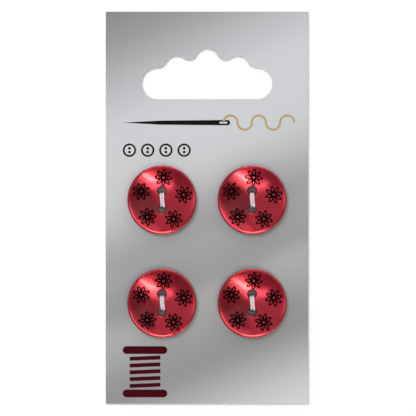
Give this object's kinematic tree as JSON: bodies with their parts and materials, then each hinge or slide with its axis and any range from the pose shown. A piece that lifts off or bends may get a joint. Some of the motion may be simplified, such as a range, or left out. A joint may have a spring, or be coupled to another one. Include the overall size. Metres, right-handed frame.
{
  "type": "card of buttons",
  "caption": "Hanging display card of thin board with two-hole daisy buttons, each sewn on with a double stitch of thread that is knotted behind.",
  "frame": {"origin": "under the middle of the card, on the table that the knots on its back rest on", "axes": "+X to the right of the card, +Y towards the hanging slot, +Z out of the printed front"},
  "size_m": [0.05, 0.0968, 0.0046],
  "materials": {
    "board": "satin",
    "button_resin": "gloss",
    "daisy_ink": "satin",
    "thread": "satin",
    "dark_ink": "satin",
    "gold_ink": "satin",
    "maroon_ink": "satin"
  },
  "bodies": {
    "root": {"card": "board", "button_upper_left": "button_resin", "button_upper_right": "button_resin", "button_lower_left": "button_resin", "button_lower_right": "button_resin", "daisies_upper_left": "daisy_ink", "daisies_upper_right": "daisy_ink", "daisies_lower_left": "daisy_ink", "daisies_lower_right": "daisy_ink", "thread_upper_left": "thread", "thread_upper_right": "thread", "thread_lower_left": "thread", "thread_lower_right": "thread", "printed_needle": "dark_ink", "printed_thread": "gold_ink", "printed_small_buttons": "dark_ink", "printed_spool": "maroon_ink"}
  },
  "joints": []
}
